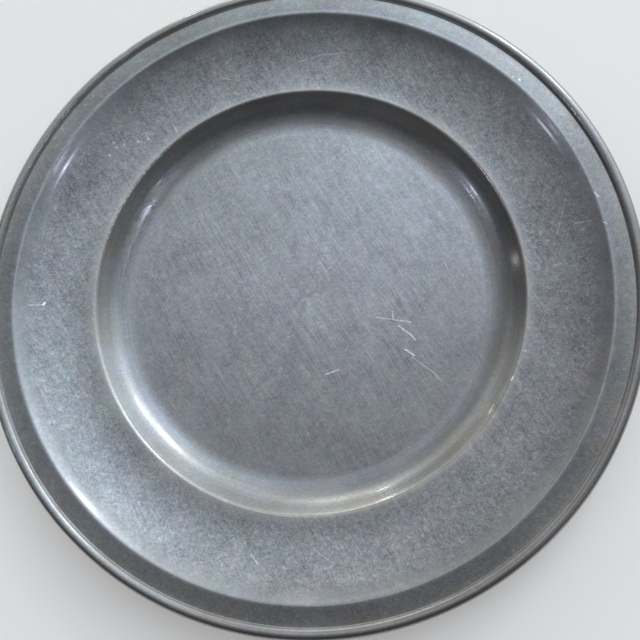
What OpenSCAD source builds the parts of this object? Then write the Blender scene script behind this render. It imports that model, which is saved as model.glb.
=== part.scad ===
// Round pewter salver: a broad-rimmed dish spun from one sheet, with its edge
// rolled over a stiffening wire. The whole dish is one bent section, turned about Z.
// Sizes are in millimetres. The origin is the middle of the flat underside, +Z up.

/* [Overall] */
// Diameter over the rolled edge
plate_d = 321; // [260:1:380]
// Thickness of the spun sheet
sheet_t = 1.2; // [0.8:0.1:1.8]

/* [Well] */
// Depth of the well, from the start of the rim down to the floor
well_depth = 10.5; // [9:0.5:16]
// Steepness of the wall under the lip, in degrees
wall_angle = 45; // [36:1:56]
// Inside radius of the hollow curve between floor and wall
bouge_r = 19; // [10:0.5:26]
// Inside radius of the lip, where the wall turns over into the rim
lip_r = 1.2; // [0.6:0.1:3]

/* [Rim] */
// Breadth of the rim, from the lip to the start of the flat band
rim_w = 37; // [25:0.5:48]
// Rise of the rim where it leaves the lip, in degrees
rim_angle = 4; // [0:0.5:10]
// Inside radius of the broad sweep of the rim
rim_r = 75; // [60:1:150]
// Inside radius of the cove that climbs from the rim to the ridge
cove_r = 40; // [25:0.5:70]
// Width of the cove
cove_w = 5; // [3:0.1:8]
// Inside radius of the ridge
ridge_r = 1.5; // [0.6:0.1:3]

/* [Border] */
// Breadth of the border, from the start of the band to the outside of the edge
border_w = 14.5; // [11:0.1:24]
// Rise of the band toward the rolled edge, in degrees
band_angle = -1; // [-6:1:10]
// Inside radius of the crease between the band and the rolled edge
crease_r = 0.4; // [0.3:0.1:1]
// Steepness of the sheet where it climbs out of the crease, in degrees
crease_angle = 69; // [58:1:78]

/* [Rolled edge] */
// Diameter of the wire inside the rolled edge
wire_d = 3.4; // [2:0.1:4.4]
// Play between the wire and the sheet rolled over it
wire_clearance = 0.05; // [0.02:0.01:0.1]
// Slit left between the turned-in edge and the underside of the crease
hem_gap = 0.3; // [0.2:0.1:0.8]
// Gap between the two butted ends of the wire
wire_gap = 0.8; // [0.2:0.1:3]

/* [Hidden] */
// Largest turn between two points of a bend, in degrees
bend_step = 4;
// Largest way between two points of a bend
bend_chord = 4;
// Fineness of the turned faces
$fn = 180;

pewter = [0.44, 0.45, 0.46];
steel = [0.32, 0.31, 0.30];

// Middle of the sheet to either face
half_t = sheet_t / 2;

// Bend radii at the middle of the sheet
bouge_mid = bouge_r + half_t;
lip_mid = lip_r + half_t;
rim_mid = rim_r + half_t;
cove_mid = cove_r + half_t;
ridge_mid = ridge_r + half_t;
crease_mid = crease_r + half_t;
curl_mid = wire_d / 2 + wire_clearance + half_t;

// Rings of the plan, from the outside in
edge_rad = plate_d / 2;
wire_rad = edge_rad - curl_mid - half_t;
band_rad = edge_rad - border_w;
rim_rad = band_rad - rim_w;

// Sweep, cove and ridge share the breadth of the rim, which gives the slopes where they meet
cove_gain = cove_w / cove_mid;
ridge_share = ridge_mid * (cove_gain - sin(band_angle));
sweep_gain = rim_w - cove_w - ridge_share + rim_mid * sin(rim_angle);
sweep_angle = asin(sweep_gain / (rim_mid + ridge_mid));
cove_angle = asin(sin(sweep_angle) + cove_gain);

// The straight wall takes up what the two curves leave of the depth
bouge_rise = bouge_mid * (1 - cos(wall_angle));
lip_rise = lip_mid * (cos(rim_angle) - cos(wall_angle));
wall_run = (well_depth - bouge_rise - lip_rise) / sin(wall_angle);

// The flat floor takes up what the wall leaves of the radius
bouge_reach = bouge_mid * sin(wall_angle);
lip_reach = lip_mid * (sin(wall_angle) - sin(rim_angle));
floor_rad = rim_rad - lip_reach - wall_run * cos(wall_angle) - bouge_reach;

// Direction at an angle from the horizontal
function unit(a) = [cos(a), sin(a)];

// Sheet turned from slope a to slope b: pairs of a middle point and the way its face looks
function bend(start, r, a, b) =
    let (side = sign(b - a))
    let (centre = start + side * r * unit(a + 90))
    let (run = r * abs(b - a) * PI / 180)
    let (steps = ceil(max(abs(b - a) / bend_step, run / bend_chord)))
    [for (i = [0:steps])
        let (slope = a + (b - a) * i / steps)
        [centre - side * r * unit(slope + 90), unit(slope + 90)]];

// Last middle point of a bend
function end_of(run) = run[len(run) - 1][0];

// Floor, wall, lip, rim, cove and ridge follow one another from the centre out
bouge = bend([floor_rad, half_t], bouge_mid, 0, wall_angle);
lip = bend(end_of(bouge) + wall_run * unit(wall_angle), lip_mid, wall_angle, rim_angle);
sweep = bend(end_of(lip), rim_mid, rim_angle, sweep_angle);
cove = bend(end_of(sweep), cove_mid, sweep_angle, cove_angle);
ridge = bend(end_of(cove), ridge_mid, cove_angle, band_angle);

// The band runs out to the crease, from which the sheet climbs onto the wire
band_start = end_of(ridge);
crease_reach = (crease_mid + curl_mid) * sin(crease_angle) - crease_mid * sin(band_angle);
band_run = (wire_rad - crease_reach - band_start[0]) / cos(band_angle);
crease = bend(band_start + band_run * unit(band_angle), crease_mid, band_angle, crease_angle);
wire_centre = end_of(crease) - curl_mid * unit(crease_angle + 90);

// The curl goes over and under the wire until its raw edge is one hem gap short of the crease
crease_away = crease_mid + curl_mid;
curl_rad = curl_mid + half_t;
hem_away = crease_mid + half_t + hem_gap;
hem_turn = acos((crease_away ^ 2 + curl_rad ^ 2 - hem_away ^ 2) / (2 * crease_away * curl_rad));
curl = bend(end_of(crease), curl_mid, crease_angle, crease_angle + hem_turn - 360);

// Middle line of the whole sheet, from the axis to the raw edge under the rim
axis_point = [[0, half_t], unit(90)];
section = concat([axis_point], bouge, lip, sweep, cove, ridge, crease, curl);

// One side of the sheet
function face(side) = [for (p = section) p[0] + side * half_t * p[1]];

// The points of a list from last to first
function turned_round(list) = [for (i = [len(list) - 1:-1:0]) list[i]];

// Spun sheet: well, wall, broad rim, moulded border and the curl round the wire
module dish() {
    color(pewter)
        rotate_extrude()
            polygon(concat(face(1), turned_round(face(-1))));
}

// Round steel wire bent to a hoop, its ends butted at the back, trapped in the curl
module rim_wire() {
    gap_angle = wire_gap / (2 * PI * wire_rad) * 360;
    color(steel)
        rotate([0, 0, 90 + gap_angle / 2])
            rotate_extrude(angle = 360 - gap_angle)
                translate(wire_centre)
                    circle(d = wire_d, $fn = 48);
}

dish();
rim_wire();
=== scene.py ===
import math

import bmesh
import bpy
from mathutils import Matrix, Vector, noise


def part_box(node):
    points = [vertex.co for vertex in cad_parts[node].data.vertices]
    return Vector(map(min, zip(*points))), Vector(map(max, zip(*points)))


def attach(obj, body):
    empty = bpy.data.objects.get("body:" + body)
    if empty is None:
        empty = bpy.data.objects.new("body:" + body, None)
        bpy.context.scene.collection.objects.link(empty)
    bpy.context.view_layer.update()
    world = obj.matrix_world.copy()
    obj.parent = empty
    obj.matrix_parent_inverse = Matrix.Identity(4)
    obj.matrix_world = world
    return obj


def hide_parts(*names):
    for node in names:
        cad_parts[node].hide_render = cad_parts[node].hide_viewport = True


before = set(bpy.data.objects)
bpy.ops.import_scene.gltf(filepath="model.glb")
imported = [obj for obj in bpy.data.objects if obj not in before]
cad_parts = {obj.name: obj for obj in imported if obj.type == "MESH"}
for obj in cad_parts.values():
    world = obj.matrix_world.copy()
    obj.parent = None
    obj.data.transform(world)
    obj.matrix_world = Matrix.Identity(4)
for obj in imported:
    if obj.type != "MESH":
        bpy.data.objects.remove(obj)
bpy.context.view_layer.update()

# Dish
# One disc of sheet pewter, spun on a lathe over a chuck: floor, hollow curve, wall, lip, sweeping
# rim, cove, ridge and band are bends in the same sheet. Its edge is rolled over and under a wire.

mm = 0.001
sheet_t = 1.2 * mm
half_t = sheet_t / 2
well_depth = 10.5 * mm
wall_slope = math.radians(45)
bouge_mid = 19 * mm + half_t
lip_mid = 1.2 * mm + half_t
rim_w = 37 * mm
rim_slope = math.radians(4)
sweep_mid = 75 * mm + half_t
cove_mid = 40 * mm + half_t
cove_w = 5 * mm
ridge_mid = 1.5 * mm + half_t
border_w = 14.5 * mm
band_slope = math.radians(-1)
crease_mid = 0.4 * mm + half_t
crease_slope = math.radians(69)
hem_gap = 0.3 * mm
round_steps = 360
weld = 0.01 * mm

# The rings share out the plate's breadth; the edge and the wire come from the frame
edge_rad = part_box("dish")[1].x
wire_low, wire_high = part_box("rim_wire")
wire_half = (wire_high.z - wire_low.z) / 2
wire_z = (wire_high.z + wire_low.z) / 2
wire_rad = wire_high.x - wire_half
curl_mid = edge_rad - half_t - wire_rad
lip_rad = edge_rad - border_w - rim_w
cove_gain = cove_w / cove_mid
ridge_share = ridge_mid * (cove_gain - math.sin(band_slope))
sweep_gain = rim_w - cove_w - ridge_share + sweep_mid * math.sin(rim_slope)
sweep_slope = math.asin(sweep_gain / (sweep_mid + ridge_mid))
cove_slope = math.asin(math.sin(sweep_slope) + cove_gain)
lip_rise = lip_mid * (math.cos(rim_slope) - math.cos(wall_slope))
lip_reach = lip_mid * (math.sin(wall_slope) - math.sin(rim_slope))
wall_rise = well_depth - lip_rise - bouge_mid * (1 - math.cos(wall_slope))
wall_run = wall_rise / math.sin(wall_slope)
bouge_reach = bouge_mid * math.sin(wall_slope)
floor_rad = lip_rad - lip_reach - wall_run * math.cos(wall_slope) - bouge_reach
crease_away = crease_mid + curl_mid
crease_reach = crease_away * math.sin(crease_slope) - crease_mid * math.sin(band_slope)
curl_rad = curl_mid + half_t
hem_away = crease_mid + half_t + hem_gap
hem_share = (crease_away ** 2 + curl_rad ** 2 - hem_away ** 2) / (2 * crease_away * curl_rad)
hem_turn = math.acos(hem_share)


def heading(slope):
    """Unit vector in the section that climbs at this slope."""
    return Vector((math.cos(slope), 0, math.sin(slope)))


def straight(section, tip, length, slope, steps):
    """Draws the sheet on from its tip in a straight line."""
    for _ in range(steps):
        tip = bmesh.ops.extrude_vert_indiv(section, verts=[tip])["verts"][0]
        bmesh.ops.translate(section, verts=[tip], vec=heading(slope) * length / steps)
    return tip


def bend(section, tip, radius, slope, end_slope, steps):
    """Draws the sheet on from its tip round a bend, until it climbs at the end slope."""
    turn = end_slope - slope
    centre = tip.co + math.copysign(radius, turn) * heading(slope + math.pi / 2)
    pivot = {"cent": centre, "axis": (0, -1, 0)}
    arc = bmesh.ops.spin(section, geom=[tip], angle=turn, steps=steps, **pivot)
    return next(v for v in arc["geom_last"] if isinstance(v, bmesh.types.BMVert))


def turn_round(section, angle, steps, whole):
    """Spins a section about the plate's axis."""
    parts = section.verts[:] + section.edges[:] + section.faces[:]
    axis = {"cent": (0, 0, 0), "axis": (0, 0, 1)}
    bmesh.ops.spin(section, geom=parts, angle=angle, steps=steps, use_merge=whole, **axis)


sheet = bmesh.new()
tip = sheet.verts.new((0, 0, half_t))
tip = straight(sheet, tip, floor_rad, 0, steps=12)
tip = bend(sheet, tip, bouge_mid, 0, wall_slope, steps=12)
tip = straight(sheet, tip, wall_run, wall_slope, steps=3)
tip = bend(sheet, tip, lip_mid, wall_slope, rim_slope, steps=7)
tip = bend(sheet, tip, sweep_mid, rim_slope, sweep_slope, steps=16)
tip = bend(sheet, tip, cove_mid, sweep_slope, cove_slope, steps=5)
tip = bend(sheet, tip, ridge_mid, cove_slope, band_slope, steps=8)
band_reach = wire_rad - crease_reach - tip.co.x
tip = straight(sheet, tip, band_reach / math.cos(band_slope), band_slope, steps=4)
tip = bend(sheet, tip, crease_mid, band_slope, crease_slope, steps=6)
bend(sheet, tip, curl_mid, crease_slope, crease_slope + hem_turn - math.tau, steps=36)
turn_round(sheet, math.tau, round_steps, whole=True)
bmesh.ops.remove_doubles(sheet, verts=sheet.verts[:], dist=weld)
bmesh.ops.recalc_face_normals(sheet, faces=sheet.faces[:])
middle_face = min(sheet.faces, key=lambda face: face.calc_center_median().length)
if middle_face.normal.z < 0:
    bmesh.ops.reverse_faces(sheet, faces=sheet.faces[:])

# Years of use: the edge strays, the floor and the rim are not quite true, and there are knocks.
# Each knock is a place in plate millimetres, its size, and how far it pushes in and presses down.
edge_stray = 0.14 * mm
edge_sag = 0.20 * mm
floor_wave = 0.10 * mm
rim_wave = 0.16 * mm
stray_bends = 2.6
sag_bends = 1.3
level_size = 46 * mm
ripple_size = 34 * mm
floor_fade = 0.25
knocks = (
    (90.0, -58.0, 2.4, 0.00, 0.30),
    (88.7, -60.9, 2.0, 0.00, 0.26),
    (-61.7, 145.4, 24.0, 0.42, 0.10),
    (-94.0, 127.0, 5.0, 0.22, 0.10),
    (-132.5, -4.8, 2.2, 0.00, 0.15),
)


def wear_out_of_true(verts):
    """Moves points of the plate a little in and down, never outside its own box."""
    for v in verts:
        reach = v.co.xy.length
        if reach < mm:
            continue
        way = Vector((v.co.x / reach, v.co.y / reach, 0))
        outer = min(max((reach - lip_rad) / (edge_rad - lip_rad), 0), 1)
        # Each of these noises starts from a place of its own
        stray = 0.5 + 0.5 * noise.noise(way * stray_bends + Vector((0, 0, 4.1)))
        sag = 0.5 + 0.5 * noise.noise(way * sag_bends + Vector((0, 0, 9.7)))
        level = 0.5 + 0.5 * noise.noise(v.co / level_size + Vector((3.1, 0, 0)))
        ripple = noise.noise(v.co / ripple_size + Vector((0, 7.7, 0)))
        inward = edge_stray * stray * outer ** 2
        down = edge_sag * sag * outer + rim_wave * ripple * math.sin(math.pi * outer)
        down -= floor_wave * level * min(max(1 - reach / floor_rad, 0) / floor_fade, 1)
        for x, y, size, push, press in knocks:
            share = math.exp(-((v.co.x / mm - x) ** 2 + (v.co.y / mm - y) ** 2) / size ** 2)
            inward += push * mm * share
            down += press * mm * share
        v.co -= way * inward + Vector((0, 0, down))


def new_piece(name, shape, smooth=True):
    """Turns a finished bmesh into an object of its own at the origin."""
    for face in shape.faces:
        face.smooth = smooth
    mesh = bpy.data.meshes.new(name)
    shape.to_mesh(mesh)
    shape.free()
    piece = bpy.data.objects.new(name, mesh)
    bpy.context.scene.collection.objects.link(piece)
    return piece


wear_out_of_true(sheet.verts)
dish = new_piece("spun_dish", sheet)
gauge = dish.modifiers.new("sheet gauge", "SOLIDIFY")
gauge.thickness = sheet_t
gauge.offset = 0
gauge.use_even_offset = True
gauge.use_quality_normals = True
gauge.material_offset = 1
gauge.material_offset_rim = 1


def put(tree, kind, feeds, out=0, **settings):
    """Adds one node with its settings and what feeds it, and gives back one of its outputs."""
    node = tree.nodes.new("ShaderNode" + kind)
    for name, value in settings.items():
        setattr(node, name, value)
    for name, value in feeds.items():
        if isinstance(value, bpy.types.NodeSocket):
            tree.links.new(value, node.inputs[name])
        else:
            node.inputs[name].default_value = value
    return node.outputs[out]


def calc(tree, operation, a, b=0.0, c=0.0):
    """One step of arithmetic on numbers."""
    return put(tree, "Math", {0: a, 1: b, 2: c}, operation=operation)


def vector(tree, operation, a, b=(0, 0, 0), out=0):
    """One step of arithmetic on vectors."""
    return put(tree, "VectorMath", {0: a, 1: b}, out, operation=operation)


def fade(tree, value, start, end):
    """Smooth change from 0 to 1 while the value goes from start to end."""
    feeds = {"Value": value, "From Min": start, "From Max": end}
    return put(tree, "MapRange", feeds, interpolation_type="SMOOTHSTEP")


def add_up(tree, total, *parts):
    """Adds to a total the products of pairs."""
    for value, share in parts:
        total = calc(tree, "MULTIPLY_ADD", value, share, total)
    return total


def mottle(tree, place, size, detail=2.0, rough=0.55):
    """Random light and dark patches of this size, about zero."""
    feeds = {"Vector": place, "Scale": 1 / size, "Detail": detail, "Roughness": rough}
    return calc(tree, "SUBTRACT", put(tree, "TexNoise", feeds), 0.5)


def along(tree, place, degrees, length, width, start=(0, 0)):
    """Coordinates along and across a direction in the plate, in steps of those sizes."""
    feeds = {
        "Vector": place,
        "Location": (start[0], start[1], 0),
        "Rotation": (0, 0, math.radians(degrees)),
        "Scale": (length, width, length),
    }
    return put(tree, "Mapping", feeds, vector_type="TEXTURE")


def brush(tree, place, degrees, length, width, detail=2.0):
    """Random strokes in one direction, about zero."""
    return mottle(tree, along(tree, place, degrees, length * mm, width * mm), 1.0, detail)


def ring_colour(tree, reach, rings):
    """A colour that follows the rings, from rows of a radius in mm and the colour there."""
    table = put(tree, "ValToRGB", {"Fac": calc(tree, "DIVIDE", reach, edge_rad)})
    stops = table.node.color_ramp.elements
    stops[0].color = (*rings[0][1:], 1)
    stops[1].color = (*rings[-1][1:], 1)
    for radius, *values in rings[1:-1]:
        stops.new(radius * mm / edge_rad).color = (*values, 1)
    return table


def by_ring(tree, reach, rings):
    """Three separate values that follow the rings of the plate."""
    return put(tree, "SeparateColor", {"Color": ring_colour(tree, reach, rings)}).node.outputs[:]


def polar(tree, place):
    """Radius of a place on the plate, and coordinates that follow the turning round the axis."""
    round_scale = 2.5
    line_pitch = 0.8 * mm
    flat = vector(tree, "MULTIPLY", place, (1, 1, 0))
    reach = vector(tree, "LENGTH", flat, out="Value")
    way = vector(tree, "MULTIPLY", vector(tree, "NORMALIZE", flat), (round_scale, round_scale, 0))
    step = put(tree, "CombineXYZ", {"Z": calc(tree, "DIVIDE", reach, line_pitch)})
    return reach, vector(tree, "ADD", way, step)


def new_finish(name, metallic):
    """Starts a material, and gives it back with its nodes and its shader."""
    material = bpy.data.materials.new(name)
    material.use_nodes = True
    shader = material.node_tree.nodes["Principled BSDF"]
    shader.inputs["Metallic"].default_value = metallic
    return material, material.node_tree, shader


def mix_tint(tree, share, first, second):
    """Goes from the first tint to the second as the share goes from 0 to 1."""
    return put(tree, "Mix", {0: share, 6: (*first, 1), 7: (*second, 1)}, 2, data_type="RGBA")


def tinted(tree, share, first, second, tone):
    """Mixes two tints and gives them a tone."""
    tint = mix_tint(tree, share, first, second)
    return put(tree, "VectorMath", {0: tint, "Scale": tone}, operation="SCALE")


def lay_on(tree, shader, colour, rough, height, depth):
    """Joins colour, roughness and fine relief to the shader."""
    tree.links.new(colour, shader.inputs["Base Color"])
    tree.links.new(rough, shader.inputs["Roughness"])
    relief = put(tree, "Bump", {"Height": height, "Strength": 1.0, "Distance": depth})
    tree.links.new(relief, shader.inputs["Normal"])


# Scratches in plate millimetres: strength, half width and the points that each runs through
scratches = (
    (0.55, 0.45, (35.5, -11.8), (52.7, -14.5)),
    (0.75, 0.42, (43.6, -9.0), (43.7, -12.8)),
    (0.70, 0.55, (46.5, -16.4), (52.0, -20.6), (54.7, -23.7)),
    (1.00, 0.60, (49.4, -28.3), (54.0, -31.5)),
    (0.50, 0.45, (52.8, -32.2), (63.4, -40.3), (66.6, -44.3)),
    (0.75, 0.50, (9.8, -40.4), (16.3, -38.1)),
    (0.50, 0.50, (-138.9, -5.9), (-132.8, -5.3)),
    (1.30, 0.80, (-132.8, -5.3), (-132.2, -4.0)),
    (0.30, 0.45, (-3.6, 123.6), (9.2, 126.3), (21.3, 126.4)),
    (0.45, 0.45, (-24.0, -125.1), (-20.4, -129.3)),
    (0.28, 0.45, (5.1, -122.7), (13.0, -127.7)),
    (0.26, 0.45, (11.4, -117.3), (16.4, -122.5)),
    (0.26, 0.45, (21.4, -115.8), (27.0, -124.2)),
    (0.16, 0.45, (4.1, -114.0), (14.0, -124.1)),
    (0.30, 0.45, (-70.4, 92.0), (-68.2, 87.9)),
    # The next two, at the lip on the front right, are painted glints
    (0.60, 0.55, (99.5, -43.4), (98.6, -45.3)),
    (0.60, 0.55, (90.3, -56.4), (88.0, -60.3)),
    (0.70, 0.50, (139.2, 42.1), (140.9, 39.8)),
    (0.80, 0.45, (142.2, 27.3), (143.8, 26.6)),
    (0.30, 0.45, (131.2, 29.1), (137.9, 29.1)),
    (0.20, 0.45, (127.8, 43.6), (123.4, 25.4)),
)
# Single dots, in the same way: strength, half width and where each lies
nicks = (
    (0.40, 0.9, (-101.2, 81.4)),
    (0.50, 1.0, (-99.4, 79.3)),
    (0.40, 0.8, (-95.9, 81.1)),
    (0.40, 0.8, (-92.4, 81.3)),
    (0.50, 1.0, (-88.7, 82.8)),
    (0.60, 0.9, (-83.5, 84.6)),
    (0.70, 1.0, (-103.2, 74.8)),
    (0.40, 0.8, (-85.4, 92.5)),
    (0.60, 0.8, (105.7, -31.2)),
    (0.90, 0.8, (107.6, 101.6)),
    (0.50, 0.8, (104.5, 103.3)),
)


def scratch_and_glint_marks(tree, place):
    """Bright lines and dots: how near a place lies to each scratch and nick, two of them painted
    glints at the lip.
    """
    total = 0.0
    flat = vector(tree, "MULTIPLY", place, (1, 1, 0))
    for strength, half_width, (x, y) in nicks:
        gap = vector(tree, "DISTANCE", flat, (x * mm, y * mm, 0), "Value")
        dot = calc(tree, "MULTIPLY", fade(tree, gap, half_width * mm, 0), strength)
        total = calc(tree, "MAXIMUM", total, dot)
    for strength, half_width, *points in scratches:
        for (x0, y0), (x1, y1) in zip(points, points[1:]):
            length = math.hypot(x1 - x0, y1 - y0)
            slant = math.degrees(math.atan2(y1 - y0, x1 - x0))
            beside = along(tree, place, slant, mm, mm, (x0 * mm, y0 * mm))
            x, y = put(tree, "SeparateXYZ", {"Vector": beside}).node.outputs[:2]
            on_line = calc(tree, "MINIMUM", calc(tree, "MAXIMUM", x, 0), length)
            past = calc(tree, "SUBTRACT", x, on_line)
            gap = calc(tree, "SQRT", add_up(tree, calc(tree, "MULTIPLY", y, y), (past, past)))
            line = calc(tree, "MULTIPLY", fade(tree, gap, half_width, 0), strength)
            total = calc(tree, "MAXIMUM", total, line)
    return total


def pewter(name, surface, work, tint, marked):
    """Pewter whose tone, roughness, grain, brushing, turning and tarnish follow the rings."""
    material, tree, shader = new_finish(name, metallic=1.0)
    # A thin polished skin over the duller metal gives the sharp glints
    shader.inputs["Coat Weight"].default_value = 1.0
    shader.inputs["Coat IOR"].default_value = 1.7
    shader.inputs["Coat Roughness"].default_value = 0.115
    place = put(tree, "TexCoord", {}, "Object")
    reach, rounds = polar(tree, place)
    tone, rough, grain = by_ring(tree, reach, surface)
    brushing, turning, tarnish = by_ring(tree, reach, work)
    # Grain from fine to coarse, and the lathe's lines, each about zero
    speckle = mottle(tree, place, 0.8 * mm, detail=1.0, rough=0.6)
    flecks = mottle(tree, place, 1.8 * mm, detail=2.0, rough=0.6)
    blotches = mottle(tree, place, 6 * mm, detail=3.0, rough=0.6)
    clouds = mottle(tree, place, 24 * mm, detail=3.0, rough=0.5)
    lines = mottle(tree, rounds, 1.0, detail=3.0, rough=0.6)
    # Brushing, heavier in some places than in others, with single bright hairs
    strokes = add_up(
        tree,
        brush(tree, place, -55, length=8, width=0.55),
        (brush(tree, place, -61, length=17, width=0.9), 1.0),
        (brush(tree, place, -57, length=34, width=3.0), 0.8),
    )
    swept = fade(tree, mottle(tree, place, 34 * mm), -0.16, 0.20)
    strokes = calc(tree, "MULTIPLY", strokes, add_up(tree, 0.60, (swept, 0.90)))
    hairs = add_up(
        tree,
        fade(tree, brush(tree, place, -54, length=18, width=0.50, detail=0.0), 0.20, 0.30),
        (fade(tree, brush(tree, place, -66, length=12, width=0.45, detail=0.0), 0.22, 0.32), 1.0),
        (fade(tree, brush(tree, place, 18, length=13, width=0.45, detail=0.0), 0.25, 0.34), 0.7),
    )
    # Bright pricks, worn grit and dirt
    pricks = fade(tree, mottle(tree, place, 1.1 * mm, detail=0.0), 0.25, 0.33)
    worn = fade(tree, mottle(tree, place, 2.6 * mm, detail=4.0, rough=0.72), 0.02, 0.26)
    grit = calc(tree, "MULTIPLY", speckle, 0.85)
    grit = add_up(tree, grit, (flecks, 0.60), (blotches, 0.42), (worn, 0.46))
    grit = calc(tree, "MULTIPLY", grit, grain)
    strokes = calc(tree, "MULTIPLY", strokes, brushing)
    lines = calc(tree, "MULTIPLY", lines, turning)
    hairs = calc(tree, "MULTIPLY", hairs, brushing)
    pricks = calc(tree, "MULTIPLY", pricks, grain)
    dirt = fade(tree, mottle(tree, place, 12 * mm, detail=4.0, rough=0.6), -0.06, 0.16)
    dirt = calc(tree, "MULTIPLY", dirt, tarnish)
    # Together they change the tone, the roughness and the relief
    change = add_up(tree, grit, (strokes, 0.58), (hairs, 0.22), (pricks, 0.30), (lines, 0.45))
    change = add_up(tree, change, (clouds, 0.70), (dirt, -0.20))
    gloss = add_up(tree, rough, (clouds, 0.06), (lines, 0.06), (dirt, 0.06))
    height = add_up(tree, calc(tree, "MULTIPLY", strokes, 0.5), (lines, 0.5), (blotches, 0.4))
    if marked:
        scratches_and_glints = scratch_and_glint_marks(tree, place)
        scratches_and_glints = calc(tree, "MULTIPLY", scratches_and_glints, add_up(tree, 1.0, (flecks, 2.4)))
        # A pale stain at the front, which stops at the ridge
        spot = along(tree, place, 0, 9.5 * mm, 4.0 * mm, (-1.6 * mm, -142.2 * mm))
        spot = vector(tree, "LENGTH", vector(tree, "MULTIPLY", spot, (1, 1, 0)), out="Value")
        stain = fade(tree, spot, 1.1, 0.85)
        inside_ridge = fade(tree, reach, 145.5 * mm, 144.5 * mm)
        stain = calc(tree, "MULTIPLY", stain, inside_ridge)
        change = add_up(tree, change, (stain, 0.16), (scratches_and_glints, 2.4))

    # Painted shade: the front right, darkened by the hand that held the plate, is made darker and
    # warmer than the rest
    painted_hand_shade = put(tree, "SeparateXYZ", {"Vector": along(tree, place, -42, 1, 1)})
    painted_hand_shade = fade(tree, painted_hand_shade, -0.07, 0.15)
    shade = add_up(tree, tone, (change, tone))
    shade = calc(tree, "MULTIPLY", shade, add_up(tree, 1.05, (painted_hand_shade, -0.25)))
    tints = fade(tree, mottle(tree, place, 11 * mm, detail=4.0, rough=0.7), -0.18, 0.18)
    tints = mix_tint(tree, tints, (1.035, 0.980, 1.03), (0.97, 1.017, 0.985))
    browning = mix_tint(tree, dirt, (1.0, 1.0, 1.0), (1.06, 0.98, 0.86))
    colour = tinted(tree, painted_hand_shade, (0.985, 1.005, 1.01), (1.035, 0.995, 0.98), shade)
    colour = vector(tree, "MULTIPLY", vector(tree, "MULTIPLY", colour, tints), browning)
    colour = vector(tree, "MULTIPLY", colour, ring_colour(tree, reach, tint))
    lay_on(tree, shader, colour, gloss, height, 0.06 * mm)
    return material


# The upper face: a radius in mm, then tone, roughness and grain. The tone is partly each ring's
# finish and partly painted light: painted highlight at the lip and the ridge, painted shade on the
# inner side of the rolled edge
face_surface_and_sheen = (
    (0, 0.315, 0.38, 0.90),
    (84, 0.290, 0.38, 0.90),
    (89.5, 0.295, 0.34, 0.75),
    (95, 0.250, 0.28, 0.55),
    (99, 0.275, 0.27, 0.50),
    (105, 0.270, 0.26, 0.50),
    (107, 0.245, 0.24, 0.40),
    (108.6, 0.395, 0.25, 0.35),
    (110.3, 0.310, 0.32, 0.90),
    (114, 0.245, 0.38, 1.65),
    (126, 0.262, 0.38, 1.65),
    (137, 0.262, 0.38, 1.60),
    (141, 0.25, 0.36, 0.90),
    (143.6, 0.26, 0.34, 0.70),
    (145.2, 0.31, 0.28, 0.60),
    (147, 0.22, 0.32, 1.00),
    (150, 0.245, 0.34, 1.10),
    (153.6, 0.28, 0.34, 1.00),
    (154.8, 0.28, 0.34, 0.60),
    (155.6, 0.24, 0.25, 0.50),
    (157.5, 0.275, 0.20, 0.50),
    (158.6, 0.30, 0.22, 0.50),
    (160.5, 0.22, 0.30, 0.50),
)
# A radius in mm, then brushing, turning and tarnish
face_work = (
    (0, 1.0, 0.0, 0.15),
    (50, 1.0, 0.2, 0.15),
    (75, 0.9, 0.5, 0.2),
    (87, 0.7, 0.7, 0.25),
    (93, 0.2, 1.0, 0.6),
    (106, 0.0, 1.0, 0.9),
    (110, 0.7, 0.2, 0.4),
    (138, 0.8, 0.3, 0.2),
    (142, 0.1, 0.6, 0.2),
    (146, 0.2, 0.5, 0.5),
    (152, 0.2, 0.3, 0.8),
    (154.4, 0.0, 0.5, 1.0),
    (156, 0.0, 0.7, 0.8),
    (160.5, 0.1, 0.7, 0.7),
)
# A radius in mm, then a tint in red, green and blue
face_tint = (
    (0, 1.01, 1.0, 1.035),
    (80, 0.99, 1.0, 1.01),
    (104, 0.98, 1.0, 1.02),
    (108.6, 1.03, 1.0, 0.95),
    (113, 0.985, 1.0, 1.01),
    (143, 0.98, 1.0, 1.025),
    (148, 0.965, 1.0, 1.0),
    (153, 0.98, 1.0, 0.98),
    (156.5, 1.025, 1.0, 0.965),
    (160.5, 1.0, 1.0, 1.01),
)
# The underside, in the same three tables
back_surface = (
    (0, 0.22, 0.42, 0.6),
    (70, 0.22, 0.42, 0.6),
    (84, 0.28, 0.34, 0.5),
    (90, 0.30, 0.32, 0.4),
    (96, 0.22, 0.38, 0.6),
    (108, 0.20, 0.38, 0.6),
    (140, 0.21, 0.40, 0.7),
    (160.5, 0.21, 0.40, 0.7),
)
back_work = (
    (0, 0.1, 1.2, 0.5),
    (84, 0.3, 0.8, 0.2),
    (92, 0.3, 0.8, 0.2),
    (98, 0.0, 1.4, 0.6),
    (160.5, 0.0, 1.2, 0.7),
)
back_tint = (
    (0, 1.0, 1.0, 1.0),
    (160.5, 1.02, 1.0, 0.97),
)
dish.data.materials.append(pewter("pewter face", face_surface_and_sheen, face_work, face_tint, marked=True))
dish.data.materials.append(pewter("pewter back", back_surface, back_work, back_tint, marked=False))
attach(dish, "root")
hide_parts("dish")

# Wire
# A length of round drawn steel, bent to a hoop with its two ends butted at the back. It lies in
# the rolled edge, which holds it, and shows only through the narrow slit under the rim.

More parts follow.
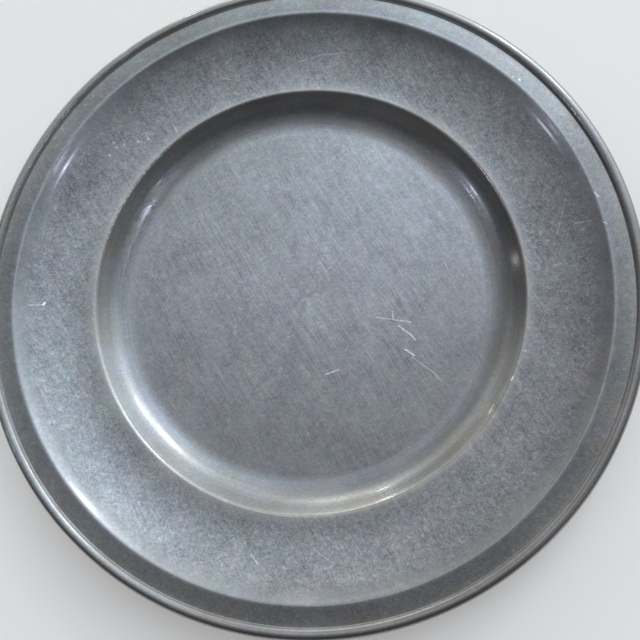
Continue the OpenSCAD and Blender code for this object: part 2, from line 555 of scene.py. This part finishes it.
wire_gap = 0.8 * mm
wire_sides = 16
hoop_steps = 240
gap_turn = wire_gap / wire_rad
hoop = bmesh.new()
circle = bmesh.ops.create_circle(hoop, cap_ends=True, radius=wire_half, segments=wire_sides)
end_face = circle["verts"]
upright = Matrix.Rotation(math.pi / 2, 3, "X")
bmesh.ops.rotate(hoop, verts=end_face, cent=(0, 0, 0), matrix=upright)
bmesh.ops.translate(hoop, verts=end_face, vec=(wire_rad, 0, wire_z))
to_back = Matrix.Rotation(math.pi / 2 + gap_turn / 2, 3, "Z")
bmesh.ops.rotate(hoop, verts=end_face, cent=(0, 0, 0), matrix=to_back)
turn_round(hoop, math.tau - gap_turn, hoop_steps, whole=False)
bmesh.ops.recalc_face_normals(hoop, faces=hoop.faces[:])
wear_out_of_true(hoop.verts)
wire = new_piece("wire_hoop", hoop)


def drawn_steel():
    """Dull bare steel with fine lines along its length and brown specks."""
    material, tree, shader = new_finish("drawn steel", metallic=1.0)
    place = put(tree, "TexCoord", {}, "Object")
    rounds = polar(tree, place)[1]
    lines = mottle(tree, rounds, 0.4, detail=3.0, rough=0.6)
    specks = fade(tree, mottle(tree, place, 1.6 * mm, detail=3.0), 0.05, 0.25)
    tone = add_up(tree, 0.30, (lines, 0.25), (specks, -0.10))
    colour = tinted(tree, specks, (1.0, 0.99, 0.97), (1.1, 0.9, 0.75), tone)
    rough = add_up(tree, 0.34, (lines, 0.15), (specks, 0.25))
    lay_on(tree, shader, colour, rough, lines, 0.02 * mm)
    return material


wire.data.materials.append(drawn_steel())
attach(wire, "root")
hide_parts("rim_wire")

# Table top
# A broad board with a matt coat of pale paint. The plate stands on it by the flat underside of
# its well, and nothing else is on it.

board_rad = 4.0
board_sides = 96
board_drop = 0.05 * mm
board = bmesh.new()
bmesh.ops.create_circle(board, cap_ends=True, radius=board_rad, segments=board_sides)
bmesh.ops.translate(board, verts=board.verts[:], vec=(0, 0, -board_drop))
table_top = new_piece("table_top", board, smooth=False)


def pale_paint():
    """Matt paint with a faint unevenness."""
    material, tree, shader = new_finish("pale paint", metallic=0.0)
    place = put(tree, "TexCoord", {}, "Object")
    patches = mottle(tree, place, 0.25, detail=3.0)
    share = fade(tree, patches, -0.2, 0.2)
    tone = add_up(tree, 0.93, (patches, 0.02))
    colour = tinted(tree, share, (1.0, 0.96, 0.92), (1.0, 0.97, 0.93), tone)
    rough = add_up(tree, 0.85, (patches, 0.05))
    lay_on(tree, shader, colour, rough, patches, 0.01 * mm)
    shader.inputs["Emission Color"].default_value = (1.0, 0.95, 0.88, 1)
    shader.inputs["Emission Strength"].default_value = 0.16
    return material


table_top.data.materials.append(pale_paint())

# Light
# A grey room with soft boxes: broad ones at the back right and low along the front, smaller ones
# behind and at the sides. Eleven small lamps draw the glints, each aimed past the middle at the
# far side. Directions are an azimuth and an angle from overhead.

# Soft boxes: azimuth, angle from overhead, sharpness and glow
soft_boxes = (
    (66, 72, 3, (1.32, 1.45, 1.53)),
    (133, 17, 8, (0.41, 0.44, 0.49)),
    (134, 89, 20, (0.98, 0.99, 0.91)),
    (50, 54, 20, (0.84, 1.04, 1.28)),
    (72, 34, 200, (0.60, 0.78, 0.86)),
    (-30, 37, 50, (0.20, 0.22, 0.29)),
    (106, 78, 50, (1.66, 1.67, 1.51)),
    (-172, 55, 50, (0.10, 0.12, 0.16)),
    (77, 26, 60, (0.58, 0.75, 1.04)),
    (151, 71, 50, (0.32, 0.34, 0.40)),
    (137, 64, 40, (0.26, 0.26, 0.25)),
    (-128, 96, 18, (0.42, 0.43, 0.45)),
    (-84, 96, 18, (0.42, 0.43, 0.45)),
    (-40, 96, 18, (0.42, 0.43, 0.45)),
)
room_grey = (0.091, 0.091, 0.096)
backdrop_grey = (0.76, 0.76, 0.76, 1)
white = (1.0, 1.0, 1.0)
bluish = (0.76, 0.80, 1.0)
# Lamps: name, azimuth, angle from overhead, size in metres, power, beam in degrees and colour
lamps = (
    ("lamp_right", -14.5, 32, 0.040, 0.09, 20, bluish),
    ("lamp_right_high", -11.1, 24, 0.050, 0.36, 20, bluish),
    ("lamp_front_right", -29.6, 45, 0.050, 0.08, 20, white),
    ("lamp_left", -167.3, 51, 0.040, 0.34, 20, bluish),
    ("lamp_left_middle", -169.3, 43, 0.035, 0.05, 20, bluish),
    ("lamp_left_high", -171.8, 36.8, 0.045, 0.19, 20, bluish),
    ("lamp_low_left", 173.5, 77, 0.025, 0.05, 20, white),
    ("lamp_back_right", 52, 56.6, 0.110, 0.55, 180, white),
    ("lamp_back", 64.3, 55, 0.120, 0.65, 180, white),
    ("lamp_back_high", 64.6, 47.2, 0.100, 0.34, 180, white),
    ("lamp_back_low", 113.3, 82.2, 0.055, 0.17, 20, white),
)
lamp_away = 1.4
far_side = 0.12


def sky_way(azimuth, from_top):
    """Direction from the plate to a light."""
    return Matrix.Rotation(math.radians(azimuth), 3, "Z") @ heading(math.radians(90 - from_top))


world = bpy.data.worlds.new("studio")
bpy.context.scene.world = world
world.use_nodes = True
sky = world.node_tree
look = put(sky, "TexCoord", {}, "Generated")
glow = room_grey
for azimuth, from_top, sharpness, colour in soft_boxes:
    near = vector(sky, "DOT_PRODUCT", look, sky_way(azimuth, from_top), "Value")
    share = calc(sky, "EXPONENT", calc(sky, "MULTIPLY_ADD", near, sharpness, -sharpness))
    box_glow = put(sky, "VectorMath", {0: colour, "Scale": share}, operation="SCALE")
    glow = vector(sky, "ADD", box_glow, glow)

# The plate mirrors the room, and behind it the camera sees a plain backdrop
room = put(sky, "Background", {"Color": glow})
backdrop = put(sky, "Background", {"Color": backdrop_grey})
seen = put(sky, "LightPath", {}, "Is Camera Ray")
both = put(sky, "MixShader", {0: seen, 1: room, 2: backdrop})
sky.links.new(both, sky.nodes["World Output"].inputs["Surface"])

for name, azimuth, from_top, size, power, beam, colour in lamps:
    lamp_data = bpy.data.lights.new(name, "AREA")
    lamp_data.shape = "DISK"
    lamp_data.size = size
    # A narrowed lamp keeps the brightness that it has when it shines all round
    half_beam = math.radians(beam / 2)
    lamp_data.spread = 2 * half_beam
    lamp_data.energy = power * (1 - half_beam / math.tan(half_beam))
    lamp_data.color = colour
    lamp = bpy.data.objects.new(name, lamp_data)
    lamp.location = sky_way(azimuth, from_top) * lamp_away
    beam_way = lamp.location + sky_way(azimuth, 90) * far_side
    lamp.rotation_euler = beam_way.to_track_quat("Z", "Y").to_euler()
    bpy.context.scene.collection.objects.link(lamp)

# Camera
# A short lens close above the plate, a little to its front and right, with the back of the plate
# at the top of the picture.

image_px = 640
focal_px = 690.6
view_turn = math.radians(28.40)
view_height = math.radians(78.19)
view_away = 326.28 * mm
aim = Vector((9.20 * mm, -17.18 * mm, 25.80 * mm))
back = Matrix.Rotation(view_turn - math.pi / 2, 3, "Z") @ heading(view_height)
right = Vector((0, 1, 0)).cross(back).normalized()
upward = back.cross(right)
camera_data = bpy.data.cameras.new("camera")
camera_data.sensor_width = 36
camera_data.lens = camera_data.sensor_width * focal_px / image_px
camera_data.clip_start = 0.01
camera = bpy.data.objects.new("camera", camera_data)
turned = Matrix((right, upward, back)).transposed().to_4x4()
camera.matrix_world = Matrix.Translation(aim + back * view_away) @ turned
bpy.context.scene.collection.objects.link(camera)
bpy.context.scene.camera = camera
bpy.context.scene.view_settings.view_transform = "Standard"
